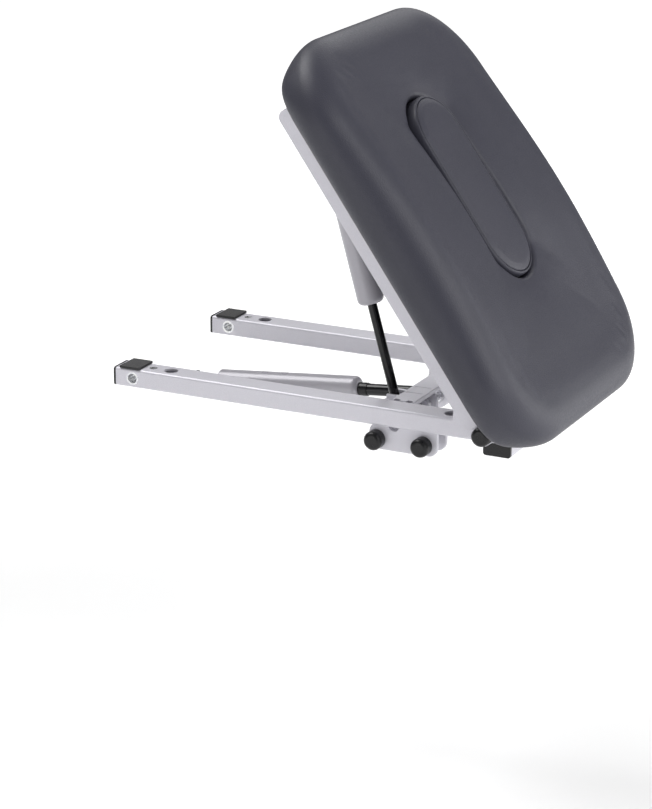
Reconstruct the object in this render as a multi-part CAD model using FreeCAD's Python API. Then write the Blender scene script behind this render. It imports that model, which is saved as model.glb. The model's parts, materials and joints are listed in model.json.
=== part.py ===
import FreeCAD, Part
import math
import os

from FreeCAD import Vector

# Tilting face cradle of a treatment couch, in millimetres.
# Origin: centre of the couch pivot. +X runs out along the rails, +Z is up.

# --- driving dimensions -------------------------------------------------
HINGE_X = 405.0             # couch pivot to tilt hinge
TILT = 54.8                 # degrees that the cushion is raised at rest

RAIL_Y = 108.0              # centre of each rail from the middle
RAIL_WIDTH = 30.0
RAIL_HEIGHT = 20.0
RAIL_WALL = 2.0
RAIL_BACK = -20.0
RAIL_FRONT = 414.0
SOCKET_X = (39.0, 361.0)    # vertical accessory holes
SOCKET_R = 7.5
PIVOT_BORE_R = 5.1
HINGE_PIN_R = 5.0

CROSSBAR_X = (287.5, 312.5)
CROSSBAR_THICK = 5.0
BAR_X = (281.0, 333.0)      # strut bar and tie bar
BAR_Z = -26.5
BAR_R = 6.0
PLATE_THICK = 4.0
PLATE_X = (272.5, 348.5)
PLATE_LOW = -37.5
STRUT_Y = 54.0              # each gas strut from the middle
CLEVIS_Y = 10.5             # clevis plate centre from the strut's plane
CLEVIS_BOLT = (306.8, -5.2)     # X and Z
CLEVIS_BOLT_R = 4.0
END_TUBE_X = (394.0, 424.0)
END_TUBE_Z = (-30.0, -10.0)
END_TUBE_Y = 101.0

CUSHION_LENGTH = 465.0
CUSHION_WIDTH = 363.0
CUSHION_START = -40.0       # along the cushion, from the hinge
CUSHION_BASE = 15.5         # above the hinge axis, cushion laid flat
CUSHION_TOP = 79.0
CUSHION_CORNER = 89.0
TOP_ROLL = 32.0             # radius round the upper edge
BASE_ROLL = 24.0
RIM_ROLL = 8.0             # round the slot
SKIN = 1.5                  # vinyl with its backing
BOARD_THICK = 12.0
BOARD_INSET = 24.0          # from the cushion's outline
WINDOW_MARGIN = 56.0        # outline to the edge of the turned-in vinyl
STAPLE_INSET = 38.0
STAPLE_PITCH = (36.0, 28.0)     # along the sides and along the ends
SLOT_CENTRE = 221.0
SLOT_LENGTH = 214.0
SLOT_WIDTH = 94.0
PLUG_GAP = 2.0
PLUG_TOP = 72.0
PLUG_BASE = 22.0
PLUG_BOARD = 6.0

STRIP_START = 10.4          # side rail of the cushion frame, from the hinge
STRIP_END = 379.5
STRIP_LOW = -14.0
FRAME_TOP = 15.2
FRAME_THICK = 4.0
EAR_Y = 124.0
STRIP_Y = 128.0
FRAME_HALF = 103.0          # half width between the ledges
LOW_MEMBER = (40.0, 65.0)   # crossmembers, from the hinge
HIGH_MEMBER = (344.0, 372.0)
SCREW_S = (60.0, 195.0, 330.0)
SCREW_Y = 115.0

STRUT_TOP_S = 325.0         # upper strut pin, along the cushion frame
STRUT_TOP_N = -20.0         # and below the hinge line
LIFT_ANGLE = 5.3            # lift strut below horizontal
LIFT_LENGTH = 302.0
CYLINDER_R = 14.0
TILT_ROD_R = 5.0
LIFT_ROD_R = 6.5
HEAD_LENGTH = 28.0
TILT_NOSE = 128.0           # bar to the near end of each cylinder
LIFT_NOSE = 99.0
TILT_PISTON = 150.0
LIFT_PISTON = 160.0

# --- derived ------------------------------------------------------------
RAIL_TOP = RAIL_HEIGHT / 2
RAIL_IN = RAIL_Y - RAIL_WIDTH / 2
RAIL_OUT = RAIL_Y + RAIL_WIDTH / 2
OUTER_PLATE_Y = RAIL_OUT - 12.0
HINGE = Vector(HINGE_X, 0, 0)
TILT_RAD = math.radians(TILT)
PAD_X = HINGE_X - CUSHION_START - CUSHION_LENGTH / 2
SLOT_X = HINGE_X - SLOT_CENTRE


# --- small tools --------------------------------------------------------
def box(x0, x1, y0, y1, z0, z1):
    return Part.makeBox(x1 - x0, y1 - y0, z1 - z0, Vector(x0, y0, z0))


def rod_y(x, z, radius, y0, y1):
    low, high = min(y0, y1), max(y0, y1)
    return Part.makeCylinder(radius, high - low, Vector(x, low, z), Vector(0, 1, 0))


def rod_z(x, y, radius, z0, z1):
    return Part.makeCylinder(radius, z1 - z0, Vector(x, y, z0), Vector(0, 0, 1))


def rod_x(radius, x0, x1):
    return Part.makeCylinder(radius, x1 - x0, Vector(x0, 0, 0), Vector(1, 0, 0))


def ring_y(x, z, outer, inner, y0, y1):
    return rod_y(x, z, outer, y0, y1).cut(rod_y(x, z, inner, y0, y1))


def fillet_along(shape, direction, radius, keep=None):
    """Round the straight edges that run along one direction."""
    edges = []
    for edge in shape.Edges:
        if edge.Curve.TypeId != "Part::GeomLine":
            continue
        run = edge.tangentAt(edge.FirstParameter)
        if abs(run.dot(direction)) > 0.999 and (keep is None or keep(edge.CenterOfMass)):
            edges.append(edge)
    return shape.makeFillet(radius, edges)


def softened(shape, y, radius):
    """Round the outline of a plate's face that lies at one Y."""
    outline = []
    for edge in shape.Edges:
        bounds = edge.BoundBox
        if bounds.YMax - bounds.YMin < 0.01 and abs(bounds.YMax - y) < 0.01:
            outline.append(edge)
    return shape.makeFillet(radius, outline)


def plate_xz(points, y0, y1):
    corners = [Vector(x, y0, z) for x, z in points]
    face = Part.Face(Part.makePolygon(corners + corners[:1]))
    return face.extrude(Vector(0, y1 - y0, 0))


def both_sides(shape):
    """The shape and its mirror image across the middle plane."""
    return [shape, shape.mirror(Vector(0, 0, 0), Vector(0, 1, 0))]


def raised(shape):
    """Turn a shape made with the cushion flat up to its rest angle."""
    turned = shape.copy()
    turned.rotate(HINGE, Vector(0, 1, 0), TILT)
    return turned


def along(s):
    """X of a point that lies s from the hinge with the cushion flat."""
    return HINGE_X - s


def stadium(length, width, x, z0, z1):
    half = (length - width) / 2
    middle = box(x - half, x + half, -width / 2, width / 2, z0, z1)
    ends = [rod_z(x + side * half, 0, width / 2, z0, z1) for side in (-1, 1)]
    return middle.multiFuse(ends).removeSplitter()


def rounded_block(length, width, radius, x, z0, z1):
    block = box(x - length / 2, x + length / 2, -width / 2, width / 2, z0, z1)
    return fillet_along(block, Vector(0, 0, 1), radius)


def edges_at(shape, z, inside, half_length, half_width, x):
    """Edges lying at one height, inside or outside a centred rectangle."""
    found = []
    for edge in shape.Edges:
        bounds = edge.BoundBox
        if bounds.ZMax - bounds.ZMin > 0.01 or abs(bounds.ZMax - z) > 0.01:
            continue
        centre = edge.CenterOfMass
        near = abs(centre.x - x) < half_length and abs(centre.y) < half_width
        if near == inside:
            found.append(edge)
    return found


# --- carrier rails ------------------------------------------------------
def square_tube(x0, x1, y0, y1, z0, z1, run):
    """Rectangular tube with rounded corners, along X or Y."""
    outer = fillet_along(box(x0, x1, y0, y1, z0, z1), run, 3.0)
    dx = 0 if run.x else RAIL_WALL
    dy = 0 if run.y else RAIL_WALL
    bore = box(x0 + dx, x1 - dx, y0 + dy, y1 - dy, z0 + RAIL_WALL, z1 - RAIL_WALL)
    return outer.cut(fillet_along(bore, run, 1.0))


def near_rail():
    rail = square_tube(RAIL_BACK, RAIL_FRONT, -RAIL_OUT, -RAIL_IN, -RAIL_TOP, RAIL_TOP, Vector(1, 0, 0))
    cuts = [rod_y(x, 0, 7.0, -RAIL_OUT - 1, -RAIL_IN + 1) for x in (0, HINGE_X)]
    cuts += [rod_z(x, -RAIL_Y, SOCKET_R, -RAIL_TOP - 1, RAIL_TOP + 1) for x in SOCKET_X]
    cuts.append(rod_z(17.5, -RAIL_Y, 1.8, 0, RAIL_TOP + 1))
    cuts.append(Part.makeCone(1.8, 4.2, 2.0, Vector(17.5, -RAIL_Y, RAIL_TOP - 2.0)))
    return rail.cut(Part.makeCompound(cuts))


def rail_plug(x, outwards):
    """Plastic insert that closes a rail end: a flange and a stub."""
    flange = sorted((x, x + outwards * 2.5))
    plug = box(*flange, -RAIL_OUT, -RAIL_IN, -RAIL_TOP, RAIL_TOP)
    plug = fillet_along(plug, Vector(1, 0, 0), 3.0)
    stub = sorted((x, x - outwards * 1.5))
    inner = RAIL_WALL + 0.1
    body = box(*stub, -RAIL_OUT + inner, -RAIL_IN - inner, -RAIL_TOP + inner, RAIL_TOP - inner)
    return plug.fuse(body).removeSplitter()


def countersunk_screw(x, y, top, radius, head_radius, length):
    head = Part.makeCone(radius, head_radius, 2.0, Vector(x, y, top - 2.0))
    shank = rod_z(x, y, radius, top - length, top - 2.0)
    recess = box(x - 2.4, x + 2.4, y - 0.4, y + 0.4, top - 1.2, top + 1)
    cross = box(x - 0.4, x + 0.4, y - 2.4, y + 2.4, top - 1.2, top + 1)
    return head.fuse(shank).removeSplitter().cut(recess.fuse(cross))


# --- crossbar and brackets ----------------------------------------------
def clevis_plate(y):
    """Lug under the crossbar that holds one side of a strut's lower end."""
    bar_x = BAR_X[0]
    low_z = RAIL_TOP - CROSSBAR_THICK
    y0, y1 = y - PLATE_THICK / 2, y + PLATE_THICK / 2
    top = box(bar_x - 12, 317.0, y0, y1, -14.0, low_z)
    top = fillet_along(top, Vector(0, 1, 0), 4.0, lambda c: c.x > 310)
    leg = box(bar_x - 12, bar_x + 12, y0, y1, BAR_Z, low_z)
    boss = rod_y(bar_x, BAR_Z, 12.0, y0, y1)
    tab = box(291.0, 309.0, y0, y1, low_z - 1, RAIL_TOP - 0.3)
    plate = softened(top.multiFuse([leg, boss]).removeSplitter(), y0, 0.8).fuse(tab).removeSplitter()
    return plate.cut(rod_y(bar_x, BAR_Z, BAR_R, y0, y1)).cut(rod_y(*CLEVIS_BOLT, CLEVIS_BOLT_R, y0, y1))


def crossbar():
    bar = box(*CROSSBAR_X, -RAIL_IN, RAIL_IN, RAIL_TOP - CROSSBAR_THICK, RAIL_TOP)
    bar = fillet_along(bar, Vector(0, 1, 0), 0.8)
    slots = []
    for side in (-1, 1):
        for offset in (-CLEVIS_Y, CLEVIS_Y):
            y = side * STRUT_Y + offset
            slots.append(box(290.8, 309.2, y - 2.1, y + 2.1, 0, RAIL_TOP + 1))
        inner = side * (RAIL_IN - PLATE_THICK / 2)
        for x in (293.0, 307.0):
            slots.append(box(x - 3, x + 3, inner - 2.1, inner + 2.1, 0, RAIL_TOP + 1))
    return bar.cut(Part.makeCompound(slots))


def bracket_plate(y0, y1, high):
    """Plate that hangs under a rail and carries the two bars."""
    plate = box(*PLATE_X, y0, y1, PLATE_LOW, -RAIL_TOP)
    plate = fillet_along(plate, Vector(0, 1, 0), 10.0, lambda c: c.z < -30 or c.x < 280)
    if high > -RAIL_TOP:
        neck = box(286.0, 314.0, y0, y1, -RAIL_TOP - 1, high)
        plate = plate.fuse(neck).removeSplitter()
    plate = softened(plate.cut(rod_y(300.0, -RAIL_TOP, 6.0, y0, y1)), y0, 0.8)
    return plate.cut(Part.makeCompound([rod_y(x, BAR_Z, BAR_R, y0, y1) for x in BAR_X]))


def dome_cap(x, z, y_face, radius, hole_radius, hole_depth):
    """Round plastic cap on the near side, rounded off towards -Y."""
    crown = y_face - 13.4
    cap = rod_y(x, z, radius, crown, y_face)
    rim = [edge for edge in cap.Edges if abs(edge.BoundBox.YMax - crown) < 0.01]
    cap = cap.makeFillet(radius * 0.49, rim)
    return cap.cut(rod_y(x, z, hole_radius, y_face - hole_depth, y_face + 1))


def hex_nut(x, z, across, bore, y0, y1):
    corner = across / math.sqrt(3)
    points = []
    for i in range(6):
        angle = math.radians(60 * i)
        points.append((x + corner * math.cos(angle), z + corner * math.sin(angle)))
    return plate_xz(points, y0, y1).cut(rod_y(x, z, bore, y0, y1))


def clevis_bolt(side):
    """M8 bolt and nut that ties the two plates of a clevis."""
    y0 = side * STRUT_Y - CLEVIS_Y - PLATE_THICK / 2
    y1 = side * STRUT_Y + CLEVIS_Y + PLATE_THICK / 2
    shank = rod_y(*CLEVIS_BOLT, CLEVIS_BOLT_R, y0, y1 + 7.0)
    head = rod_y(*CLEVIS_BOLT, 6.5, y0 - 4.0, y0)
    return head.fuse(shank).removeSplitter(), hex_nut(*CLEVIS_BOLT, 13.0, CLEVIS_BOLT_R, y1, y1 + 6.0)


def bracket_screw():
    """Plated dome-headed screw under a rail, seen in the bracket's notch."""
    x, y = 300.0, -(RAIL_IN + OUTER_PLATE_Y - PLATE_THICK) / 2
    washer = rod_z(x, y, 7.0, -RAIL_TOP - 1.5, -RAIL_TOP)
    dome = Part.makeSphere(7.0, Vector(x, y, -RAIL_TOP - 0.5))
    dome = dome.common(box(x - 8, x + 8, y - 8, y + 8, -RAIL_TOP - 6, -RAIL_TOP - 1.5))
    return washer.fuse(dome).removeSplitter()


def end_tube_plug():
    """Plastic insert in the near end of the tube that joins the rails."""
    inner = RAIL_WALL + 0.1
    x0, x1 = END_TUBE_X
    z0, z1 = END_TUBE_Z
    flange = fillet_along(box(x0, x1, -END_TUBE_Y - 3, -END_TUBE_Y, z0, z1), Vector(0, 1, 0), 3.0)
    stub = box(x0 + inner, x1 - inner, -END_TUBE_Y, -END_TUBE_Y + 12, z0 + inner, z1 - inner)
    return flange.fuse(stub).removeSplitter()


# --- cushion frame, made flat -------------------------------------------
def side_angle():
    """Angle section: the upright leg is the strip seen beside the cushion."""
    x0, x1 = along(STRIP_END), along(STRIP_START)
    upright = box(x0, x1, -STRIP_Y - FRAME_THICK, -STRIP_Y, STRIP_LOW, FRAME_TOP)
    upright = fillet_along(upright, Vector(0, 1, 0), 8.0, lambda c: c.z < 0)
    upright = softened(upright, -STRIP_Y - FRAME_THICK, 0.8)
    ledge = box(x0 + 4, x1 - 4, -STRIP_Y, -FRAME_HALF, FRAME_TOP - FRAME_THICK, FRAME_TOP)
    angle = upright.fuse(ledge).removeSplitter()
    return angle.cut(Part.makeCompound([screw_hole(s) for s in SCREW_S]))


def screw_hole(s):
    x = along(s)
    low = FRAME_TOP - FRAME_THICK
    sink = Part.makeCone(6.0, 3.0, 3.0, Vector(x, -SCREW_Y, low))
    return sink.fuse(rod_z(x, -SCREW_Y, 3.0, low, FRAME_TOP + 1))


def frame_screw(s):
    x = along(s)
    low = FRAME_TOP - FRAME_THICK
    head = Part.makeCone(6.0, 3.0, 3.0, Vector(x, -SCREW_Y, low))
    screw = head.fuse(rod_z(x, -SCREW_Y, 3.0, low + 3, 28.5)).removeSplitter()
    points = []
    for i in range(6):
        angle = math.radians(60 * i)
        points.append(Vector(x + 2.3 * math.cos(angle), -SCREW_Y + 2.3 * math.sin(angle), low))
    socket = Part.Face(Part.makePolygon(points + points[:1])).extrude(Vector(0, 0, 2.0))
    return screw.cut(socket)


def t_nut(s):
    x = along(s)
    top = CUSHION_BASE + SKIN + BOARD_THICK
    barrel = rod_z(x, -SCREW_Y, 4.2, top - 9, top)
    flange = rod_z(x, -SCREW_Y, 9.0, top, top + 1.2)
    return barrel.fuse(flange).removeSplitter().cut(rod_z(x, -SCREW_Y, 3.0, top - 10, top + 2))


def hinge_ear():
    """Plate on the side angle that turns on the hinge pin."""
    outline = [
        (along(-11.0), 8.0), (along(-11.0), -5.5), (along(5.0), -15.5), (along(19.0), -25.0),
        (along(29.0), -22.0), (along(38.0), STRIP_LOW), (along(75.0), STRIP_LOW),
        (along(75.0), 11.0), (along(-8.0), 11.0),
    ]
    plate = plate_xz(outline, -STRIP_Y, -EAR_Y)
    plate = fillet_along(plate, Vector(0, 1, 0), 3.5, lambda c: c.z < -20)
    return plate.cut(rod_y(HINGE_X, 0, HINGE_PIN_R + 0.05, -STRIP_Y, -EAR_Y))


def head_crossmember(s0, s1):
    return box(along(s1), along(s0), -FRAME_HALF, FRAME_HALF, FRAME_TOP - FRAME_THICK, FRAME_TOP)


def strut_top_bracket():
    """Channel with two ears that hold the upper end of the tilt strut."""
    x, z = along(STRUT_TOP_S), STRUT_TOP_N
    high = FRAME_TOP - FRAME_THICK
    y = -STRUT_Y
    x1, x0 = [along(s) for s in HIGH_MEMBER]
    base = box(x0, x1, y - 19.5, y + 19.5, high - PLATE_THICK, high)
    ears = []
    for side in (-1, 1):
        inner, outer = sorted((y + side * 15.5, y + side * 19.5))
        outline = [(x0, high), (x0, 0), (x - 7, z - 7), (x + 9, z + 4), (x1, high)]
        ears.append(plate_xz(outline, inner, outer))
        ears.append(rod_y(x, z, 10.0, inner, outer))
    bracket = base.multiFuse(ears).removeSplitter()
    return bracket.cut(rod_y(x, z, 4.0, y - 25, y + 25))


def strut_top_bolts():
    """Two short shoulder bolts, one through each ear, facing the strut's eye."""
    x, z, y = along(STRUT_TOP_S), STRUT_TOP_N, -STRUT_Y
    bolts = []
    for side in (-1, 1):
        shank = rod_y(x, z, 4.0, y + side * 7.6, y + side * 19.5)
        head = hex_nut(x, z, 13.0, 0.01, *sorted((y + side * 19.5, y + side * 24.5)))
        bolts.append(shank.fuse(head.fuse(rod_y(x, z, 1.0, y + side * 19.5, y + side * 24.5))))
    return bolts


# --- cushion, made flat -------------------------------------------------
def pad_form(inset):
    """Crowned pad with rounded edges and the face slot, shrunk by inset."""
    low, high = CUSHION_BASE + inset, CUSHION_TOP - inset
    length, width = CUSHION_LENGTH - 2 * inset, CUSHION_WIDTH - 2 * inset
    block = rounded_block(length, width, CUSHION_CORNER - inset, PAD_X, low, high)
    half = (length / 2 - 20, width / 2 - 20)
    block = block.makeFillet(TOP_ROLL - inset, edges_at(block, high, False, *half, PAD_X))
    block = block.makeFillet(BASE_ROLL - inset, edges_at(block, low, False, *half, PAD_X))
    slot = stadium(SLOT_LENGTH + 2 * inset, SLOT_WIDTH + 2 * inset, SLOT_X, low - 1, high + 1)
    block = block.cut(slot)
    rim = edges_at(block, high, True, SLOT_LENGTH / 2 + 5, SLOT_WIDTH / 2 + 5, SLOT_X)
    return block.makeFillet(RIM_ROLL - inset, rim)


def board_form(low, high, grow):
    length, width = CUSHION_LENGTH - 2 * BOARD_INSET, CUSHION_WIDTH - 2 * BOARD_INSET
    block = rounded_block(length, width, CUSHION_CORNER - BOARD_INSET, PAD_X, low, high)
    slot = stadium(SLOT_LENGTH + 2 * grow, SLOT_WIDTH + 2 * grow, SLOT_X, low - 1, high + 1)
    return block.cut(slot)


def bottom_window(low, high, trim):
    """Region under the board that the turned-in vinyl leaves open."""
    shrink = 2 * WINDOW_MARGIN + trim
    corner = CUSHION_CORNER - WINDOW_MARGIN
    block = rounded_block(CUSHION_LENGTH - shrink, CUSHION_WIDTH - shrink, corner, PAD_X, low, high)
    return block.cut(stadium(SLOT_LENGTH + 28 + trim, SLOT_WIDTH + 28 + trim, SLOT_X, low, high))


def cushion_cover():
    skin = pad_form(0).cut(pad_form(SKIN))
    return skin.cut(bottom_window(CUSHION_BASE - 1, CUSHION_BASE + SKIN + 0.5, 0))


def board():
    low = CUSHION_BASE + SKIN
    panel = board_form(low, low + BOARD_THICK, SKIN)
    holes = []
    for s in SCREW_S:
        hole = rod_z(along(s), -SCREW_Y, 4.2, low - 1, low + BOARD_THICK + 1)
        holes += both_sides(hole)
    return panel.cut(Part.makeCompound(holes))


def foam():
    low = CUSHION_BASE + SKIN
    bed = board_form(low - 1, low + BOARD_THICK, SKIN - 2)
    block = pad_form(SKIN).cut(bed)
    pockets = []
    for s in SCREW_S:
        pockets += both_sides(rod_z(along(s), -SCREW_Y, 9.0, low + BOARD_THICK - 1, low + BOARD_THICK + 1.2))
    return block.cut(Part.makeCompound(pockets))


def dust_cover():
    low = CUSHION_BASE + 0.5
    sheet = bottom_window(low, CUSHION_BASE + SKIN, 2.0)
    holes = []
    for s in SCREW_S:
        holes += both_sides(rod_z(along(s), -SCREW_Y, 3.2, low - 1, low + 2))
    return sheet.cut(Part.makeCompound(holes))


def staples():
    """Staples that hold the turned-in vinyl to the board, all the way round."""
    low = CUSHION_BASE - 0.7
    pieces = []
    end_x = CUSHION_LENGTH / 2 - STAPLE_INSET
    side_y = CUSHION_WIDTH / 2 - STAPLE_INSET
    for i in range(9):
        x = PAD_X + (i - 4) * STAPLE_PITCH[0]
        for y in (-side_y, side_y):
            pieces.append(box(x - 5, x + 5, y - 0.5, y + 0.5, low, CUSHION_BASE))
    for i in range(7):
        y = (i - 3) * STAPLE_PITCH[1]
        for x in (PAD_X - end_x, PAD_X + end_x):
            pieces.append(box(x - 0.5, x + 0.5, y - 5, y + 5, low, CUSHION_BASE))
    return pieces


# --- slot plug, made flat -----------------------------------------------
def plug_form(inset):
    length = SLOT_LENGTH - 2 * PLUG_GAP - 2 * inset
    width = SLOT_WIDTH - 2 * PLUG_GAP - 2 * inset
    block = stadium(length, width, SLOT_X, PLUG_BASE + inset, PLUG_TOP - inset)
    rim = edges_at(block, PLUG_TOP - inset, True, 200, 200, SLOT_X)
    return block.makeFillet(5.0 - inset, rim)


def plug_parts():
    cover = plug_form(0).cut(plug_form(SKIN))
    window = stadium(SLOT_LENGTH - 44, SLOT_WIDTH - 44, SLOT_X, PLUG_BASE - 1, PLUG_BASE + SKIN + 0.5)
    core = plug_form(SKIN)
    split = PLUG_BASE + SKIN + PLUG_BOARD
    lower = box(SLOT_X - 200, SLOT_X + 200, -100, 100, 0, split)
    return cover.cut(window), core.cut(lower), core.common(lower)


# --- gas struts, made along +X from the bar -----------------------------
def release_head(rod_r):
    """Rod end that turns on the strut bar and holds the release arm."""
    block = box(0, HEAD_LENGTH, -7.5, 7.5, -9.0, 12.0)
    block = fillet_along(block, Vector(0, 1, 0), 3.0, lambda c: c.x > 20)
    body = block.fuse(rod_y(0, 0, 12.0, -7.5, 7.5)).removeSplitter()
    body = body.cut(rod_y(0, 0, BAR_R + 0.05, -8, 8))
    body = body.cut(box(9.0, 19.5, -2.3, 2.3, -13, 13))
    body = body.cut(rod_x(rod_r, 19.5, HEAD_LENGTH + 1))
    return body.cut(rod_y(13, 8, 2.0, -8, 8))


def release_arm():
    """Stub lever with a cable hole; its tail points to local -Z."""
    arm = box(10.5, 15.5, -2.0, 2.0, -22.0, 11.0)
    arm = fillet_along(arm, Vector(0, 1, 0), 2.2)
    return arm.cut(rod_y(13, 8, 2.05, -3, 3)).cut(rod_y(13, -18, 1.2, -3, 3))


def release_pin():
    return rod_y(13, 8, 2.0, -7.5, 7.5)


def rod(rod_r, end):
    return rod_x(rod_r, 19.5, end).cut(rod_x(1.6, 19.4, 31.0))


def plunger():
    return rod_x(1.5, 15.9, 28.0)


def piston(x):
    return rod_x(CYLINDER_R - 2.1, x, x + 8.0)


def cylinder(rod_r, nose, end):
    """Pressure tube with a rounded nose, hollow inside."""
    points = [
        Vector(nose, 0, rod_r + 1.0), Vector(nose, 0, CYLINDER_R - 6.0), Vector(nose + 6.0, 0, CYLINDER_R),
        Vector(end - 3.0, 0, CYLINDER_R), Vector(end, 0, CYLINDER_R - 3.0), Vector(end, 0, 0),
        Vector(end - 4.0, 0, 0), Vector(end - 4.0, 0, CYLINDER_R - 2.0),
        Vector(nose + 3.0, 0, CYLINDER_R - 2.0), Vector(nose + 3.0, 0, rod_r + 1.0),
    ]
    bend = math.sqrt(0.5)
    nose_mid = Vector(nose + 6.0 * (1 - bend), 0, CYLINDER_R - 6.0 + 6.0 * bend)
    edges = [Part.makeLine(points[0], points[1]), Part.Arc(points[1], nose_mid, points[2]).toShape()]
    loop = points[2:] + points[:1]
    edges += [Part.makeLine(a, b) for a, b in zip(loop, loop[1:])]
    return Part.Face(Part.Wire(edges)).revolve(Vector(0, 0, 0), Vector(1, 0, 0), 360)


def guide(rod_r, nose):
    bush = rod_x(CYLINDER_R - 2.0, nose + 3.0, nose + 14.0)
    return bush.cut(rod_x(rod_r + 0.05, nose, nose + 20.0))


def strut_eye(end, length, bore):
    neck = rod_x(6.0, end, length - 6.0)
    eye = rod_y(length, 0, 10.0, -7.0, 7.0)
    return neck.fuse(eye).removeSplitter().cut(rod_y(length, 0, bore, -8, 8))


def wiper_collar(rod_r, nose):
    """Black plastic wiper in front of the lift strut's cylinder."""
    collar = rod_x(rod_r + 0.9, nose - 10.0, nose - 0.1)
    return collar.cut(rod_x(rod_r + 0.05, nose - 12.0, nose + 1))


def placed(shape, angle, side):
    """Put a strut's local shape on the strut bar, at an angle about Y."""
    turned = shape.copy()
    turned.rotate(Vector(0, 0, 0), Vector(0, 1, 0), angle)
    turned.translate(Vector(BAR_X[0], side * STRUT_Y, BAR_Z))
    return turned


def tilt_strut_line():
    """Length of the tilt strut at rest, and its angle about Y."""
    s, n = STRUT_TOP_S, STRUT_TOP_N
    top_x = HINGE_X - s * math.cos(TILT_RAD) + n * math.sin(TILT_RAD)
    top_z = s * math.sin(TILT_RAD) + n * math.cos(TILT_RAD)
    dx, dz = top_x - BAR_X[0], top_z - BAR_Z
    return math.hypot(dx, dz), -math.degrees(math.atan2(dz, dx))


def strut_nodes(name, side, angle, length, rod_r, nose, piston_x, top_bore):
    """Every piece of one gas strut, placed."""
    end = length - 30.0
    pieces = {
        name + "_release_head": release_head(rod_r),
        name + "_release_pin": release_pin(),
        name + "_release_arm": release_arm(),
        name + "_plunger": plunger(),
        name + "_rod": rod(rod_r, piston_x),
        name + "_piston": piston(piston_x),
        name + "_cylinder": cylinder(rod_r, nose, end),
        name + "_rod_guide": guide(rod_r, nose),
        name + "_end_eye": strut_eye(end, length, top_bore),
    }
    return {key: [placed(shape, angle, side)] for key, shape in pieces.items()}


# --- all nodes ----------------------------------------------------------
def frame_nodes():
    """Rails, crossbar, brackets, bars and hinge parts fixed to the rails."""
    near, far = both_sides(near_rail())
    outer = bracket_plate(-OUTER_PLATE_Y - PLATE_THICK, -OUTER_PLATE_Y, -RAIL_TOP)
    inner = bracket_plate(-RAIL_IN, -RAIL_IN + PLATE_THICK, RAIL_TOP - CROSSBAR_THICK)
    bolts = [clevis_bolt(side) for side in (-1, 1)]
    bar_end = OUTER_PLATE_Y + PLATE_THICK
    bars = [rod_y(x, BAR_Z, BAR_R, -bar_end - 6, bar_end + 6) for x in BAR_X]
    caps = [dome_cap(x, BAR_Z, -bar_end, 10.0, BAR_R, 6.0) for x in BAR_X]
    pad = box(-15.0, 8.0, -RAIL_OUT, -RAIL_IN, RAIL_TOP, RAIL_TOP + 2.5)
    bush_faces = (-RAIL_OUT, -RAIL_IN)
    tube = square_tube(*END_TUBE_X, -END_TUBE_Y, END_TUBE_Y, *END_TUBE_Z, Vector(0, 1, 0))
    plugs = [rail_plug(RAIL_BACK, -1), rail_plug(RAIL_FRONT, 1)]
    nodes = {
        "near_rail": [near],
        "far_rail": [far],
        "couch_pivot_bushes": both_sides(ring_y(0, 0, 7.0, PIVOT_BORE_R, *bush_faces)),
        "hinge_bushes": both_sides(ring_y(HINGE_X, 0, 7.0, HINGE_PIN_R, *bush_faces)),
        "rail_end_plugs": [copy for plug in plugs for copy in both_sides(plug)],
        "rest_pads": both_sides(pad),
        "rest_pad_screws": both_sides(countersunk_screw(17.5, -RAIL_Y, RAIL_TOP, 1.8, 4.2, 12.0)),
        "crossbar": [crossbar()],
        "tilt_strut_clevis": [clevis_plate(-STRUT_Y + k * CLEVIS_Y) for k in (-1, 1)],
        "lift_strut_clevis": [clevis_plate(STRUT_Y + k * CLEVIS_Y) for k in (-1, 1)],
        "clevis_bolts": [bolt for bolt, _ in bolts],
        "clevis_nuts": [nut for _, nut in bolts],
        "outer_bracket_plates": both_sides(outer),
        "inner_bracket_plates": both_sides(inner),
        "bracket_screws": both_sides(bracket_screw()),
        "strut_bar": [bars[0]],
        "tie_bar": [bars[1]],
        "bar_end_caps": [copy for cap in caps for copy in both_sides(cap)],
        "end_cross_tube": [tube],
        "end_tube_plugs": both_sides(end_tube_plug()),
        "hinge_pins": both_sides(rod_y(HINGE_X, 0, HINGE_PIN_R, -135.0, -84.0)),
        "hinge_washers": both_sides(ring_y(HINGE_X, 0, 11.0, HINGE_PIN_R, -EAR_Y + 0.1, -RAIL_OUT)),
        "hinge_nuts": both_sides(hex_nut(HINGE_X, 0, 17.0, HINGE_PIN_R, -RAIL_IN, -85.0)),
        "hinge_end_caps": both_sides(dome_cap(HINGE_X, 0, -STRIP_Y - 0.3, 10.0, HINGE_PIN_R, 6.7)),
    }
    return nodes


def head_nodes():
    """Cushion frame, cushion and plug, built flat and then raised."""
    plug_cover, plug_foam, plug_base = plug_parts()
    flat = {
        "near_side_angle": [side_angle()],
        "far_side_angle": [both_sides(side_angle())[1]],
        "hinge_ears": both_sides(hinge_ear()),
        "lower_crossmember": [head_crossmember(*LOW_MEMBER)],
        "upper_crossmember": [head_crossmember(*HIGH_MEMBER)],
        "strut_top_bracket": [strut_top_bracket()],
        "strut_top_bolts": strut_top_bolts(),
        "cushion_board": [board()],
        "cushion_foam": [foam()],
        "cushion_cover": [cushion_cover()],
        "dust_cover": [dust_cover()],
        "cover_staples": staples(),
        "cushion_screws": [copy for s in SCREW_S for copy in both_sides(frame_screw(s))],
        "t_nuts": [copy for s in SCREW_S for copy in both_sides(t_nut(s))],
        "plug_cover": [plug_cover],
        "plug_foam": [plug_foam],
        "plug_base": [plug_base],
    }
    return {name: [raised(shape) for shape in shapes] for name, shapes in flat.items()}


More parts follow.
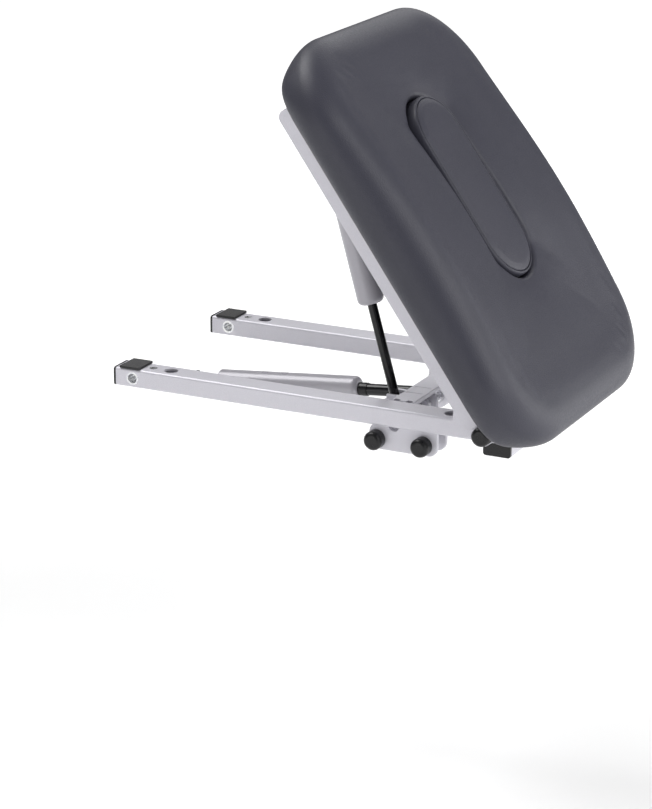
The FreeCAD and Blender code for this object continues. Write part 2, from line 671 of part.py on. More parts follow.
def build():
    length, angle = tilt_strut_line()
    nodes = frame_nodes()
    nodes.update(head_nodes())
    lift_turn = 180.0 - LIFT_ANGLE
    tilt = strut_nodes("tilt_strut", -1, angle, length, TILT_ROD_R, TILT_NOSE, TILT_PISTON, 4.1)
    lift = strut_nodes("lift_strut", 1, lift_turn, LIFT_LENGTH, LIFT_ROD_R, LIFT_NOSE, LIFT_PISTON, 5.1)
    nodes.update(tilt)
    nodes.update(lift)
    nodes["lift_strut_wiper"] = [placed(wiper_collar(LIFT_ROD_R, LIFT_NOSE), lift_turn, 1)]
    os.makedirs("parts", exist_ok=True)
    for name, shapes in nodes.items():
        for shape in shapes:
            if not shape.isValid() or len(shape.Solids) != 1:
                print("CHECK", name, shape.isValid(), len(shape.Solids))
        shape = shapes[0] if len(shapes) == 1 else Part.makeCompound(shapes)
        shape.exportStep("parts/" + name + ".step")
    print(len(nodes), "nodes; tilt strut length %.2f mm, angle %.2f degrees" % (length, angle))


build()
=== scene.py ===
"""Looks for a tilting face cradle: vinyl cushion and plug, powder-coated frame, two gas struts."""
import json
import math

import bmesh
import bpy
from mathutils import Matrix, Vector


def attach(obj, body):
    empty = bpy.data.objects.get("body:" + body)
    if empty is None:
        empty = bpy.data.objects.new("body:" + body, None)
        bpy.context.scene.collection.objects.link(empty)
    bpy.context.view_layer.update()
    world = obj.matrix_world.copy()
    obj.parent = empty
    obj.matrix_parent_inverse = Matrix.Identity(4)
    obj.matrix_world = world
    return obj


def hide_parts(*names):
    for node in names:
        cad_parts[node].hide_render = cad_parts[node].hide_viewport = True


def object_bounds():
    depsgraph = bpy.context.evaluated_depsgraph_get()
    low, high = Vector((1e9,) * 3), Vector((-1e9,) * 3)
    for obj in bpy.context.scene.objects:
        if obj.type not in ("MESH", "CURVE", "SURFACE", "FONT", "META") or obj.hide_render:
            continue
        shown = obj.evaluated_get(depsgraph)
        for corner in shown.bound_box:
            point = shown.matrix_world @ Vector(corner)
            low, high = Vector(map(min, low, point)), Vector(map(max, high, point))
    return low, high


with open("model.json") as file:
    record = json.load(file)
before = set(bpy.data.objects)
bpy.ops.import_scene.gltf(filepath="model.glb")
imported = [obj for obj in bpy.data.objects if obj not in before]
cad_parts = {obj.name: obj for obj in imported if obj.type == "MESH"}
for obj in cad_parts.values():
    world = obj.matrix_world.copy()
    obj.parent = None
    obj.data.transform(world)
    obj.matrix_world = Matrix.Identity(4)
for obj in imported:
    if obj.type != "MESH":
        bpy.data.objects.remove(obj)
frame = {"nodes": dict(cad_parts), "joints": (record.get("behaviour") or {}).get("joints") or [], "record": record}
cad_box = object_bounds()
NODES = frame["nodes"]
JOINTS = {joint["name"]: joint for joint in frame["joints"]}

MM = 0.001


# --- the cushion's own axes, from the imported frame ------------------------
# s runs along the cushion from the hinge, v across it, n out of its face.
HINGE = Vector(JOINTS["tilt"]["pos_m"])
ACROSS = Vector((0, 1, 0))
OUT = Vector(JOINTS["plug_lift"]["axis"]).normalized()
ALONG = OUT.cross(ACROSS)


def to_row(s, v, n):
    """A place on the cushion's axes, in the object's frame."""
    return HINGE + ALONG * s + ACROSS * v + OUT * n


def to_head(point):
    """A place in the object's frame, on the cushion's axes."""
    d = Vector(point) - HINGE
    return Vector((d.dot(ALONG), d.dot(ACROSS), d.dot(OUT)))


def head_box(node):
    """Lowest and highest s, v, n of a CAD node at rest."""
    found = [to_head(v.co) for v in NODES[node].data.vertices]
    low = Vector([min(p[i] for p in found) for i in range(3)])
    high = Vector([max(p[i] for p in found) for i in range(3)])
    return low, high


PAD_LOW, PAD_HIGH = head_box("cushion_cover")
PLUG_LOW, PLUG_HIGH = head_box("plug_cover")
BOARD_FACE = head_box("cushion_board")[0].z + 0.3 * MM   # just above the board's underside


# --- cushion sizes ----------------------------------------------------------
PAD_CENTRE = (PAD_HIGH.x + PAD_LOW.x) / 2
HALF_LENGTH = (PAD_HIGH.x - PAD_LOW.x) / 2
HALF_WIDTH = (PAD_HIGH.y - PAD_LOW.y) / 2
CORNER = 89 * MM            # radius of the outline's corners
SIDE_SLACK = 0.5 * MM       # keeps the widest line inside the CAD cover's box
OUTLINE = (HALF_LENGTH - SIDE_SLACK, HALF_WIDTH - SIDE_SLACK, CORNER)
BASE = PAD_LOW.z + 0.1 * MM

ROLL = 32 * MM              # width of the rolled edge
SIDE_BULGE = 28.5 * MM      # height of the widest line above the base
BASE_INSET = 25 * MM        # of the base line, from the widest line
CORNER_INSET = 0.3          # share of that inset left at the corners

CREST = 66.4 * MM           # height of the face above the base at its highest, before its hollows
CROWN = 14 * MM             # how much lower it would be at the ends of its sweep
CROWN_SHIFT = -20 * MM      # of the highest place, from the cushion's middle
CROWN_SWEEP = HALF_LENGTH * 1.1     # half of that sweep
FURROW = 0.7 * MM           # depth of a shallow furrow that follows the outline
FURROW_INSET = 62 * MM
FURROW_SPREAD = 18 * MM
DISH = 5.2 * MM             # depth of the face's hollow middle
DISH_START = 34 * MM        # inset from the outline where it begins
DISH_END = 130 * MM         # and where it is deepest
FUNNEL = 4.3 * MM           # depth that the cover is drawn down beside the slot
FUNNEL_SPREAD = 13 * MM
END_FUNNEL = 1.3 * MM       # how much deeper that is at the slot's ends
END_FUNNEL_SPREAD = 9 * MM  # and how much wider
END_START = 0.45            # share of the slot's half length where its ends begin

CREASE = 1.1 * MM           # depth of the pinches at the slot's shoulders
CREASE_SHOULDER = 24 * MM   # where they start, from the slot's end
CREASE_GAP = 2 * MM         # and from its side
CREASE_WAY = (0.80, 0.60)   # direction along and across the cushion
CREASE_LEAD = 30 * MM       # how far they fade in before that start
CREASE_REACH = 26 * MM
CREASE_SPREAD = 9 * MM

ROUND_END = 0.999           # of the half width, for a round end that keeps a short straight
SLOT_GAP = 2 * MM           # round the plug
SLOT_CENTRE = (PLUG_HIGH.x + PLUG_LOW.x) / 2
SLOT_HALF_LENGTH = (PLUG_HIGH.x - PLUG_LOW.x) / 2 + SLOT_GAP
SLOT_HALF_WIDTH = (PLUG_HIGH.y - PLUG_LOW.y) / 2 + SLOT_GAP
SLOT = (SLOT_HALF_LENGTH, SLOT_HALF_WIDTH, SLOT_HALF_WIDTH * ROUND_END)
RIM = 7 * MM                # rounding where the cover turns into the slot
NEAR_BULGE = 1.4 * MM       # how far the near rim swells over the plug's edge, half way along
NEAR_BULGE_SPREAD = 34 * MM
WALL_FOOT = BASE + 3 * MM   # where the slot's wall turns under the board

# millimetres from the slot's edge and from the base line's edge, with the height
SLOT_HEM = ((0.8, BASE + 0.8 * MM), (2.5, BASE), (8, BASE), (13, BASE), (14, BOARD_FACE))
SIDE_HEM = ((32, BOARD_FACE), (31, BASE), (25, BASE), (17, BASE), (9, BASE), (2, BASE))
PLEATED_LOOPS = 4           # of the side hem's loops, the ones nearest the edge
PLEAT = 0.45 * MM
PLEATS_PER_TURN = 34
PLEAT_FADE = 0.25           # radians at each end of a corner

PER_QUARTER = 84            # points round a quarter of the outline
SIDE_STEPS, ROLL_STEPS, FACE_STEPS, RIM_STEPS, WALL_STEPS = 12, 14, 24, 7, 8


# --- small mesh tools -------------------------------------------------------
def new_object(name, mesh):
    obj = bpy.data.objects.new(name, mesh)
    bpy.context.scene.collection.objects.link(obj)
    return obj


def face_outwards(mesh):
    made = bmesh.new()
    made.from_mesh(mesh)
    bmesh.ops.recalc_face_normals(made, faces=made.faces)
    made.to_mesh(mesh)
    made.free()


def shade_smooth(mesh):
    for poly in mesh.polygons:
        poly.use_smooth = True


def ring_mesh(name, rings, closed_tube=True):
    """Mesh from loops of equal length; closed_tube joins the last loop to the first."""
    mesh = bpy.data.meshes.new(name)
    count = len(rings[0])
    verts = [tuple(p) for ring in rings for p in ring]
    faces = []
    last = len(rings) if closed_tube else len(rings) - 1
    for i in range(last):
        a, b = i * count, (i + 1) % len(rings) * count
        for j in range(count):
            k = (j + 1) % count
            faces.append((a + j, a + k, b + k, b + j))
    mesh.from_pydata(verts, [], faces)
    mesh.update()
    face_outwards(mesh)
    shade_smooth(mesh)
    return mesh


def round_off(obj):
    """Subdivide a piece once and keep the result as its mesh."""
    rounder = obj.modifiers.new("smooth", "SUBSURF")
    rounder.levels = rounder.render_levels = 1
    graph = bpy.context.evaluated_depsgraph_get()
    mesh = bpy.data.meshes.new_from_object(obj.evaluated_get(graph))
    old = obj.data
    obj.modifiers.clear()
    obj.data = mesh
    bpy.data.meshes.remove(old)
    shade_smooth(mesh)


def smooth_step(low, high, value):
    t = min(max((value - low) / (high - low), 0.0), 1.0)
    return t * t * (3 - 2 * t)


def bell(distance, spread):
    """1 at no distance, falling to 0 either way."""
    return math.exp(-(distance / spread) ** 2)


# --- outlines ----------------------------------------------------------------
def quarter(half_length, half_width, corner, shares):
    """Points of a rounded rectangle's quarter, with outward directions.

    A share below 1 lies on the long side, one above 1 on the corner and the short side.
    """
    points = []
    straight = half_length - corner
    arc = corner * math.pi / 2
    rest = arc + half_width - corner
    for share in shares:
        if share <= 1:
            points.append((Vector((straight * share, half_width)), Vector((0, 1))))
            continue
        run = (share - 1) * rest
        if run <= arc:
            turn = run / corner
            out = Vector((math.sin(turn), math.cos(turn)))
            centre = Vector((straight, half_width - corner))
            points.append((centre + out * corner, out))
        else:
            points.append((Vector((half_length, half_width - corner - (run - arc))), Vector((1, 0))))
    return points


def whole(points):
    """A full loop from one quarter, as (s, v) points and directions."""
    loop = list(points)
    loop += [(Vector((p.x, -p.y)), Vector((o.x, -o.y))) for p, o in reversed(points[:-1])]
    loop += [(Vector((-p.x, -p.y)), Vector((-o.x, -o.y))) for p, o in points[1:]]
    loop += [(Vector((-p.x, p.y)), Vector((-o.x, o.y))) for p, o in reversed(points[1:-1])]
    return loop


def outline_shares(half_length, half_width, corner, count):
    """Evenly spaced shares along a quarter of the outline, for quarter()."""
    straight = half_length - corner
    rest = corner * math.pi / 2 + half_width - corner
    first = max(2, round(count * straight / (straight + rest)))
    shares = [i / first for i in range(first)]
    return shares + [1 + i / (count - first) for i in range(count - first + 1)]


def edge_distance(s, v, half_length, half_width, corner):
    """Distance inside a rounded rectangle's edge; negative outside."""
    qx = abs(s) - half_length + corner
    qy = abs(v) - half_width + corner
    outside = math.hypot(max(qx, 0), max(qy, 0)) + min(max(qx, qy), 0)
    return corner - outside


# --- cushion: the face's shape -----------------------------------------------
def swell(position, half):
    """1 at the middle of a side, falling to 0 at its ends."""
    return math.cos(min(abs(position) / half, 1.0) * math.pi / 2) ** 2


def face_height(s, v):
    """The n of the cushion's face over a place, before its creases."""
    inside = edge_distance(s - PAD_CENTRE, v, *OUTLINE)
    t = s - SLOT_CENTRE
    to_slot = -edge_distance(t, v, *SLOT)
    end = smooth_step(SLOT_HALF_LENGTH * END_START, SLOT_HALF_LENGTH, abs(t))
    furrow = FURROW * bell(inside - FURROW_INSET, FURROW_SPREAD)
    dish = DISH * smooth_step(DISH_START, DISH_END, inside)
    spread = FUNNEL_SPREAD + END_FUNNEL_SPREAD * end
    funnel = (FUNNEL + END_FUNNEL * end) * math.exp(-max(to_slot - RIM, 0) / spread)
    fall = CROWN * (1 - swell(s - PAD_CENTRE - CROWN_SHIFT, CROWN_SWEEP))
    return BASE + CREST - fall - furrow - dish - funnel


def corner_creases(s, v):
    """Depth of the soft pinches that run out from the slot's four shoulders."""
    depth = 0.0
    for side in (-1, 1):
        for cross in (-1, 1):
            shoulder = SLOT_CENTRE + side * (SLOT_HALF_LENGTH - CREASE_SHOULDER)
            d = Vector((s - shoulder, v - cross * (SLOT_HALF_WIDTH + CREASE_GAP)))
            way = Vector((side * CREASE_WAY[0], cross * CREASE_WAY[1]))
            reach, off = d.dot(way), d.x * way.y - d.y * way.x
            if reach < -CREASE_LEAD:
                continue
            fade = math.exp(-max(reach, 0) / CREASE_REACH) * smooth_step(-CREASE_LEAD, 0, reach)
            depth += CREASE * fade * bell(off, CREASE_SPREAD)
    return depth


def base_inset(out):
    """How far the base line lies inside the outline, less where it rounds a corner."""
    diagonal = (2 * out.x * out.y) ** 2
    return BASE_INSET * (1 - (1 - CORNER_INSET) * diagonal)


# --- cushion: its loops, from the base up, over the face and back under ------
def outline_loop(outer, level, inset=0.0, base_share=0.0, lift=0.0):
    """A loop inside the outline: base_share follows the base line, lift goes from level to the face."""
    made = []
    for point, out in outer:
        place = point - out * (inset + base_share * base_inset(out))
        s, v = place.x + PAD_CENTRE, place.y
        made.append(Vector((s, v, level + (face_height(s, v) - level) * lift)))
    return made


def side_rings(outer):
    """The side up to its widest line, then the rolled edge up to the face."""
    widest = BASE + SIDE_BULGE
    rings = []
    for i in range(SIDE_STEPS + 1):
        turn = i / SIDE_STEPS * math.pi / 2
        height = widest - SIDE_BULGE * math.cos(turn)
        rings.append(outline_loop(outer, height, base_share=1 - math.sin(turn)))
    for i in range(1, ROLL_STEPS + 1):
        turn = i / ROLL_STEPS * math.pi / 2
        rings.append(outline_loop(outer, widest, inset=ROLL * (1 - math.cos(turn)), lift=math.sin(turn)))
    return rings


def slot_outline():
    """The slot's loop, with the near side swollen inwards."""
    shares = outline_shares(*OUTLINE, PER_QUARTER)
    inner = []
    for point, out in whole(quarter(*SLOT, shares)):
        near = NEAR_BULGE * bell(point.x, NEAR_BULGE_SPREAD) if point.y < 0 else 0
        inner.append((point - out * near, out))
    return inner


def slot_loop(inner, offset, height):
    """A flat loop outside the slot's edge."""
    return [Vector((p.x + o.x * offset + SLOT_CENTRE, p.y + o.y * offset, height)) for p, o in inner]


def face_rings(edge, inner):
    """The face, from the rolled edge to where it turns into the slot."""
    rim = slot_loop(inner, RIM, 0)
    rings = []
    for i in range(1, FACE_STEPS + 1):
        t = i / FACE_STEPS
        made = []
        for a, b in zip(edge, rim):
            s, v = a.x + (b.x - a.x) * t, a.y + (b.y - a.y) * t
            made.append(Vector((s, v, face_height(s, v) - corner_creases(s, v))))
        rings.append(made)
    return rings


def slot_rings(crest, inner):
    """The rounded rim, and the slot's wall down to its foot."""
    rings = []
    for i in range(1, RIM_STEPS + 1):
        turn = i / RIM_STEPS * math.pi / 2
        flat = slot_loop(inner, RIM * (1 - math.sin(turn)), 0)
        drop = RIM * (1 - math.cos(turn))
        rings.append([Vector((p.x, p.y, top.z - drop)) for p, top in zip(flat, crest)])
    wall_top = rings[-1]
    for i in range(1, WALL_STEPS + 1):
        t = i / WALL_STEPS
        rings.append([Vector((p.x, p.y, p.z + (WALL_FOOT - p.z) * t)) for p in wall_top])
    return rings


def hem_rings(outer, inner):
    """Hems turned in under the board, with the board's bare underside between them."""
    rings = [slot_loop(inner, step * MM, height) for step, height in SLOT_HEM]
    rings += [outline_loop(outer, height, inset=step * MM, base_share=1) for step, height in SIDE_HEM]
    pleat(rings[-PLEATED_LOOPS:])
    return rings


def pleat(rings):
    """Small gathers in the turned-in vinyl round the corners, seen from below."""
    for ring in rings:
        for p in ring:
            ds = abs(p.x - PAD_CENTRE) - HALF_LENGTH + CORNER
            dv = abs(p.y) - HALF_WIDTH + CORNER
            if ds <= 0 or dv <= 0:
                continue
            turn = math.atan2(dv, ds)
            begin = smooth_step(0.0, PLEAT_FADE, turn)
            end = smooth_step(math.pi / 2, math.pi / 2 - PLEAT_FADE, turn)
            p.z -= PLEAT * begin * end * (1 + math.cos(turn * PLEATS_PER_TURN))


def cushion_rings():
    outer = whole(quarter(*OUTLINE, outline_shares(*OUTLINE, PER_QUARTER)))
    inner = slot_outline()
    rings = side_rings(outer)
    rings += face_rings(rings[-1], inner)
    rings += slot_rings(rings[-1], inner)
    return rings + hem_rings(outer, inner)


# --- cushion: the piece ------------------------------------------------------
CLOTH_STEPS = 20
CLOTH_PRESSURE = 0.6
CLOTH_REACH = 0.35 * MM     # the farthest that the cover moves as it settles
MOST_FREE = 0.97            # how far the cover's grip on the foam is let go on the open face
SLOT_GRIP = 25 * MM         # from the slot's edge, where the grip fades out
SIDE_GRIP = (8 * MM, 30 * MM)   # heights between which it fades out up the side


def grip(rings):
    """How firmly the foam holds each point of the cover, in the mesh's order."""
    held = []
    low, high = (PAD_LOW.z + height for height in SIDE_GRIP)
    for p in (p for ring in rings for p in ring):
        to_slot = -edge_distance(p.x - SLOT_CENTRE, p.y, *SLOT)
        free = smooth_step(low, high, p.z) * smooth_step(0, SLOT_GRIP, to_slot)
        held.append(1 - MOST_FREE * free)
    return held


def cloth_settle(obj, held):
    """Let the cover find its own tension over the foam, and bake it into the mesh."""
    group = obj.vertex_groups.new(name="held")
    for index, weight in enumerate(held):
        group.add([index], weight, "REPLACE")
    before = [v.co.copy() for v in obj.data.vertices]
    cloth = obj.modifiers.new("tension", "CLOTH")
    cloth.settings.vertex_group_mass = "held"
    cloth.settings.quality = 6
    cloth.settings.mass = 0.3
    cloth.settings.tension_stiffness = 20
    cloth.settings.compression_stiffness = 20
    cloth.settings.shear_stiffness = 8
    cloth.settings.bending_stiffness = 1.5
    cloth.settings.use_pressure = True
    cloth.settings.uniform_pressure_force = CLOTH_PRESSURE
    cloth.settings.effector_weights.gravity = 0
    cloth.collision_settings.use_collision = False
    cloth.point_cache.frame_start = 1
    cloth.point_cache.frame_end = CLOTH_STEPS
    scene = bpy.context.scene
    for step in range(1, CLOTH_STEPS + 1):
        scene.frame_set(step)
    graph = bpy.context.evaluated_depsgraph_get()
    after = [v.co.copy() for v in obj.evaluated_get(graph).data.vertices]
    obj.modifiers.clear()
    scene.frame_set(1)
    for vertex, start, end in zip(obj.data.vertices, before, after):
        move = end - start
        if move.length > CLOTH_REACH:
            move *= CLOTH_REACH / move.length
        vertex.co = start + move
    obj.vertex_groups.clear()


def make_cushion(material):
    rings = cushion_rings()
    mesh = ring_mesh("face_cushion", [[to_row(*p) for p in ring] for ring in rings])
    obj = new_object("face_cushion", mesh)
    cloth_settle(obj, grip(rings))
    round_off(obj)
    obj.data.materials.append(material)
    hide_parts("cushion_cover", "cushion_foam")
    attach(obj, "cushion")


# --- plug --------------------------------------------------------------------
PLUG_HALF_LENGTH = (PLUG_HIGH.x - PLUG_LOW.x) / 2
PLUG_HALF_WIDTH = (PLUG_HIGH.y - PLUG_LOW.y) / 2
PLUG_RADIUS = PLUG_HALF_WIDTH * ROUND_END
PLUG_BASE = PLUG_LOW.z
PLUG_TOP = PLUG_HIGH.z - 1.0 * MM
PLUG_CROWN = 2.6 * MM
PLUG_FULLNESS = 0.8         # power of the crown's curve; below 1 fills it out
PLUG_SPINE = 1.2 * MM       # half the width of the strip that closes the top and the base
PLUG_PER_QUARTER = 70
PLUG_STEPS = 12             # loops from the seam to the spine
PLUG_SIDE = (0.3, 0.55, 0.75)   # shares of the height where the side has loops
# millimetres of inset and of rise where the base turns up into the side
PLUG_FOOT = ((20, 0), (6, 0), (1.5, 0), (0.4, 0.8), (0, 3))
# millimetres of inset and of depth, over the seam between the plug's top panel and its band
SEAM = (
    (0.0, 7.5), (0.1, 5.0), (0.5, 2.8), (1.3, 1.2), (2.1, 0.8), (2.8, 1.2),
    (3.2, 2.8), (3.7, 3.0), (4.1, 1.3), (4.9, 0.5), (7.0, 0.1),
)


def plug_rings(loop):
    """The plug's loops, from the middle of its base round to the middle of its top."""
    def ring(inset, height):
        return slot_loop(loop, -inset, height)

    rings = [ring(PLUG_RADIUS - PLUG_SPINE, PLUG_BASE)]
    rings += [ring(inset * MM, PLUG_BASE + rise * MM) for inset, rise in PLUG_FOOT]
    rings += [ring(0, PLUG_BASE + (PLUG_TOP - PLUG_BASE) * share) for share in PLUG_SIDE]
    rings += [ring(inset * MM, PLUG_TOP - drop * MM) for inset, drop in SEAM]
    panel = SEAM[-1][0] * MM
    for i in range(1, PLUG_STEPS + 1):
        inset = panel + (PLUG_RADIUS - panel - PLUG_SPINE) * i / PLUG_STEPS
        crown = PLUG_CROWN * math.sin(min(inset / PLUG_RADIUS, 1) * math.pi / 2) ** PLUG_FULLNESS
        rings.append(ring(inset, PLUG_TOP + crown))
    return rings


def close_ends(mesh, count, ring_count):
    """Fill the first and last loop of a lofted pad with strips from side to side."""
    made = bmesh.new()
    made.from_mesh(mesh)
    made.verts.ensure_lookup_table()
    for start in (0, count * (ring_count - 1)):
        half = count // 2
        for j in range(-half // 2, half // 2):
            picks = [j % count, (j + 1) % count, (half - j - 1) % count, (half - j) % count]
            corners = []
            for pick in picks:
                if made.verts[start + pick] not in corners:
                    corners.append(made.verts[start + pick])
            made.faces.new(corners).smooth = True
    made.to_mesh(mesh)
    made.free()
    face_outwards(mesh)


def make_plug(material):
    outline = (PLUG_HALF_LENGTH, PLUG_HALF_WIDTH, PLUG_RADIUS)
    loop = whole(quarter(*outline, outline_shares(*outline, PLUG_PER_QUARTER)))
    rings = plug_rings(loop)
    mesh = ring_mesh("slot_plug", [[to_row(*p) for p in ring] for ring in rings], closed_tube=False)
    close_ends(mesh, len(loop), len(rings))
    obj = new_object("slot_plug", mesh)
    round_off(obj)
    obj.data.materials.append(material)
    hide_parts("plug_cover", "plug_foam")
    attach(obj, "plug")


# --- materials ----------------------------------------------------------------
MIDDLE = (0.3, 0.7)         # the range that most of a noise's values lie in
NARROW = (0.35, 0.65)


class Nodes:
    """Short way to build a material's node tree."""

    def __init__(self, name):
        self.material = bpy.data.materials.new(name)
        self.material.use_nodes = True
        self.tree = self.material.node_tree
        self.shader = self.tree.nodes["Principled BSDF"]
        self.place = self.tree.nodes.new("ShaderNodeTexCoord").outputs["Object"]

    def link(self, a, b):
        self.tree.links.new(a, b)

    def noise(self, scale, detail=2.0, rough=0.5):
        node = self.tree.nodes.new("ShaderNodeTexNoise")
        node.inputs["Scale"].default_value = scale
        node.inputs["Detail"].default_value = detail
        node.inputs["Roughness"].default_value = rough
        self.link(self.place, node.inputs["Vector"])
        return node.outputs["Fac"]

    def cells(self, scale, feature="F1"):
        node = self.tree.nodes.new("ShaderNodeTexVoronoi")
        node.feature = feature
        node.inputs["Scale"].default_value = scale
        self.link(self.place, node.inputs["Vector"])
        return node.outputs["Distance"]

    def ramp(self, value, span, first=0, second=1):
        """Map a value from its span to the range from first to second."""
        node = self.tree.nodes.new("ShaderNodeMapRange")
        low, high = span
        for key, number in (("From Min", low), ("From Max", high), ("To Min", first), ("To Max", second)):
            node.inputs[key].default_value = number
        self.link(value, node.inputs["Value"])
        return node.outputs["Result"]

    def mix(self, factor, a, b):
        """Mix two colours, each a fixed one or a node's."""
        node = self.tree.nodes.new("ShaderNodeMix")
        node.data_type = "RGBA"
        self.link(factor, node.inputs["Factor"])
        for socket, colour in ((node.inputs["A"], a), (node.inputs["B"], b)):
            self.put(socket, colour)
        return node.outputs["Result"]

    def bump(self, height, strength, distance, under=None):
        node = self.tree.nodes.new("ShaderNodeBump")
        node.inputs["Strength"].default_value = strength
        node.inputs["Distance"].default_value = distance
        self.link(height, node.inputs["Height"])
        if under is not None:
            self.link(under, node.inputs["Normal"])
        return node.outputs["Normal"]

    def put(self, socket, value):
        """Set a socket to a colour or a number, or link a node's output to it."""
        if isinstance(value, tuple):
            socket.default_value = (*value, 1)
        elif isinstance(value, (int, float)):
            socket.default_value = value
        else:
            self.link(value, socket)

    def finish(self, colour, rough, normal=None, **fixed):
        inputs = self.shader.inputs
        self.put(inputs["Base Color"], colour)
        self.put(inputs["Roughness"], rough)
        if normal is not None:
            self.link(normal, inputs["Normal"])
        for key, value in fixed.items():
            inputs[key.replace("_", " ")].default_value = value
        return self.material


def vinyl(name, colour, darker):
    m = Nodes(name)
    tone = m.mix(m.ramp(m.noise(scale=9, detail=3), MIDDLE), darker, colour)
    pores = m.noise(scale=1500, detail=3, rough=0.6)
    fine = m.bump(pores, strength=0.25, distance=0.12 * MM)
    grain = m.bump(m.cells(scale=780), strength=0.6, distance=0.2 * MM, under=fine)
    rough = m.ramp(m.noise(scale=600), MIDDLE, 0.42, 0.54)
    return m.finish(tone, rough, grain, Specular_IOR_Level=0.4)


def powder_coat(name, colour, darker):
    m = Nodes(name)
    tone = m.mix(m.ramp(m.noise(scale=2600, detail=1), NARROW), darker, colour)
    rough = m.ramp(m.noise(scale=700), MIDDLE, 0.37, 0.48)
    peel = m.bump(m.noise(scale=900), strength=0.18, distance=0.1 * MM)
    return m.finish(tone, rough, peel, Metallic=0.25)


def enamel(name, colour, darker):
    """Smooth sprayed paint, with a very fine speckle."""
    m = Nodes(name)
    tone = m.mix(m.ramp(m.noise(scale=2400, detail=1), NARROW), darker, colour)
    rough = m.ramp(m.noise(scale=30), MIDDLE, 0.27, 0.3)
    return m.finish(tone, rough, Metallic=0.1)


def zinc(name):
    m = Nodes(name)
    patches = m.ramp(m.cells(scale=260, feature="SMOOTH_F1"), (0.2, 0.8))
    tone = m.mix(patches, (0.62, 0.63, 0.66), (0.80, 0.80, 0.78))
    rough = m.ramp(m.noise(scale=300, detail=3), MIDDLE, 0.2, 0.36)
    fine = m.bump(m.noise(scale=1200), strength=0.1, distance=0.05 * MM)
    return m.finish(tone, rough, fine, Metallic=1.0)


def glossy_black(name, base, rough):
    m = Nodes(name)
    worn = tuple(c * 1.5 for c in base)
    tone = m.mix(m.ramp(m.noise(scale=120, detail=3), MIDDLE), base, worn)
    gloss = m.ramp(m.noise(scale=500, detail=3), MIDDLE, rough - 0.04, rough + 0.06)
    fine = m.bump(m.noise(scale=1600), strength=0.08, distance=0.05 * MM)
    return m.finish(tone, gloss, fine, Specular_IOR_Level=0.35)


def plywood(name):
    """Light and dark plies in turn, stacked along the cushion's thickness."""
    m = Nodes(name)
    depth = m.tree.nodes.new("ShaderNodeVectorMath")
    depth.operation = "DOT_PRODUCT"
    m.link(m.place, depth.inputs[0])
    depth.inputs[1].default_value = OUT
    wave = m.tree.nodes.new("ShaderNodeMath")
    wave.operation = "PINGPONG"
    m.link(depth.outputs["Value"], wave.inputs[0])
    wave.inputs[1].default_value = 1.7 * MM
    plies = m.ramp(wave.outputs["Value"], (0.5 * MM, 1.2 * MM))
    tone = m.mix(plies, (0.42, 0.27, 0.14), (0.66, 0.50, 0.32))
    return m.finish(tone, 0.65, m.bump(m.noise(scale=220, detail=5), strength=0.3, distance=0.3 * MM))


def soft_cloth(name, colour, lighter, scale):
    m = Nodes(name)
    threads = m.noise(scale, detail=4, rough=0.7)
    weave = m.bump(threads, strength=0.5, distance=0.4 * MM)
    return m.finish(m.mix(threads, colour, lighter), 0.9, weave, Sheen_Weight=0.15)


def make_materials():
    return {
        "vinyl": vinyl("slate_vinyl", (0.038, 0.038, 0.053), (0.033, 0.033, 0.047)),
        "frame_paint": powder_coat("silver_powder_coat", (0.65, 0.64, 0.69), (0.55, 0.54, 0.59)),
        "strut_paint": enamel("strut_enamel", (0.40, 0.39, 0.425), (0.37, 0.36, 0.395)),
        "plated_steel": zinc("zinc_plate"),
        "black_rod": glossy_black("nitrided_rod", (0.004, 0.004, 0.005), 0.15),
        "black_plastic": glossy_black("black_plastic", (0.006, 0.006, 0.007), 0.3),
        "black_felt": soft_cloth("black_felt", (0.012, 0.012, 0.013), (0.035, 0.035, 0.037), 1400),
        "black_cloth": soft_cloth("dust_cloth", (0.015, 0.015, 0.016), (0.04, 0.04, 0.042), 900),
        "plywood": plywood("birch_plywood"),
        "foam": soft_cloth("foam", (0.60, 0.56, 0.44), (0.72, 0.68, 0.55), 700),
    }


def paint_cad(materials):
    slots = {part["node"]: part["material_slot"] for part in frame["record"]["subparts"]}
    for node, obj in NODES.items():
        obj.data.materials.clear()
        obj.data.materials.append(materials[slots[node]])


# --- camera, floor and light --------------------------------------------------
LENS, SENSOR = 127.35, 36           # millimetres
CAMERA_SHIFT = (0.0162, -0.0103)
CAMERA_PLACE = (1.4444, -2.6243, 0.9047)
CAMERA_TURN = (26.22, 17.77, 0.15)  # degrees of azimuth, elevation and roll
FLOOR_REACH = 12.0                  # metres each way
FLOOR_DROP = 0.35                   # below the object
GLOW_SPAN = (0.6, 3.0)              # metres from the origin over which the floor's glow grows
GLOW = (0.08, 0.85)
WHITE = (1.0, 1.0, 1.0, 1)
SKY_STRENGTH = 0.12
LIGHT_DISTANCE = 3.0
# azimuth and elevation in degrees, side in metres, power in watts
SOFTBOXES = {
    "left_high": (180, 57, 2.0, 80),
    "right": (-20, 27, 2.2, 62),
    "right_back": (32, 6, 2.2, 42),
    "back": (100, 35, 1.8, 19),
    "front_low": (-105, 4, 1.8, 12),
}


def direction(azimuth, elevation):
    """Unit vector for an azimuth from +X and an elevation, both in radians."""
    flat = math.cos(elevation)
    return Vector((flat * math.cos(azimuth), flat * math.sin(azimuth), math.sin(elevation)))


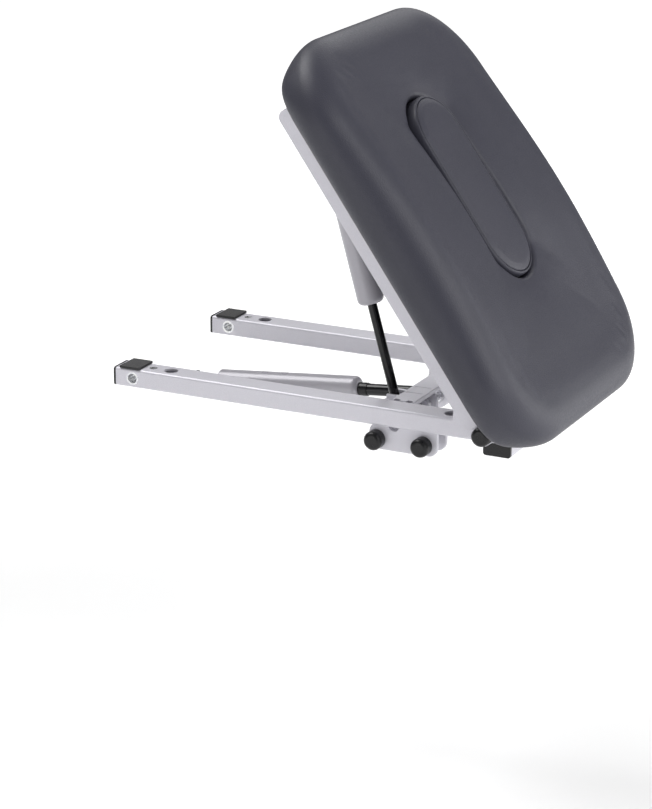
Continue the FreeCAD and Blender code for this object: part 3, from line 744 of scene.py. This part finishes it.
def make_camera():
    data = bpy.data.cameras.new("camera")
    data.lens = LENS
    data.sensor_width = SENSOR
    data.shift_x, data.shift_y = CAMERA_SHIFT
    data.clip_end = 30
    camera = new_object("camera", data)
    azimuth, elevation, roll = (math.radians(a) for a in CAMERA_TURN)
    back = direction(azimuth - math.pi / 2, elevation)
    turn = (-back).to_track_quat("-Z", "Y").to_matrix().to_4x4() @ Matrix.Rotation(roll, 4, "Z")
    camera.matrix_world = Matrix.Translation(CAMERA_PLACE) @ turn
    bpy.context.scene.camera = camera


def make_floor():
    """Pale floor whose glow grows with the distance, so that it stays even towards its edges."""
    mesh = bpy.data.meshes.new("floor")
    far, low = FLOOR_REACH, cad_box[0].z - FLOOR_DROP
    corners = [(-far, -far, low), (far, -far, low), (far, far, low), (-far, far, low)]
    mesh.from_pydata(corners, [], [(0, 1, 2, 3)])
    floor = new_object("floor", mesh)
    m = Nodes("pale_floor")
    tone = m.mix(m.noise(scale=3, detail=3), (0.86, 0.86, 0.86), (0.9, 0.9, 0.9))
    mesh.materials.append(m.finish(tone, 0.8, Emission_Color=WHITE))
    span = m.tree.nodes.new("ShaderNodeVectorMath")
    span.operation = "LENGTH"
    m.link(m.place, span.inputs[0])
    m.link(m.ramp(span.outputs["Value"], GLOW_SPAN, *GLOW), m.shader.inputs["Emission Strength"])


def softbox(name, azimuth, elevation, size, power):
    """Square area light, a fixed distance from the object and turned to it."""
    data = bpy.data.lights.new(name, "AREA")
    data.size = size
    data.energy = power
    lamp = new_object(name, data)
    way = direction(math.radians(azimuth), math.radians(elevation))
    middle = (cad_box[0] + cad_box[1]) / 2
    turn = way.to_track_quat("Z", "Y").to_matrix().to_4x4()
    lamp.matrix_world = Matrix.Translation(middle + way * LIGHT_DISTANCE) @ turn


def make_sky():
    """Faint even light; past the floor's far edge the view shows plain white, which lights nothing."""
    world = bpy.data.worlds.new("studio")
    world.use_nodes = True
    bpy.context.scene.world = world
    nodes, link = world.node_tree.nodes, world.node_tree.links.new
    faint = nodes["Background"]
    faint.inputs["Color"].default_value = WHITE
    faint.inputs["Strength"].default_value = SKY_STRENGTH
    white = nodes.new("ShaderNodeBackground")
    white.inputs["Color"].default_value = WHITE
    path = nodes.new("ShaderNodeLightPath")
    choice = nodes.new("ShaderNodeMixShader")
    link(path.outputs["Is Camera Ray"], choice.inputs["Fac"])
    link(faint.outputs["Background"], choice.inputs[1])
    link(white.outputs["Background"], choice.inputs[2])
    link(choice.outputs["Shader"], nodes["World Output"].inputs["Surface"])


make_camera()
materials = make_materials()
paint_cad(materials)
make_cushion(materials["vinyl"])
make_plug(materials["vinyl"])
make_floor()
make_sky()
for name, setting in SOFTBOXES.items():
    softbox(name, *setting)
bpy.context.scene.view_settings.view_transform = "Standard"
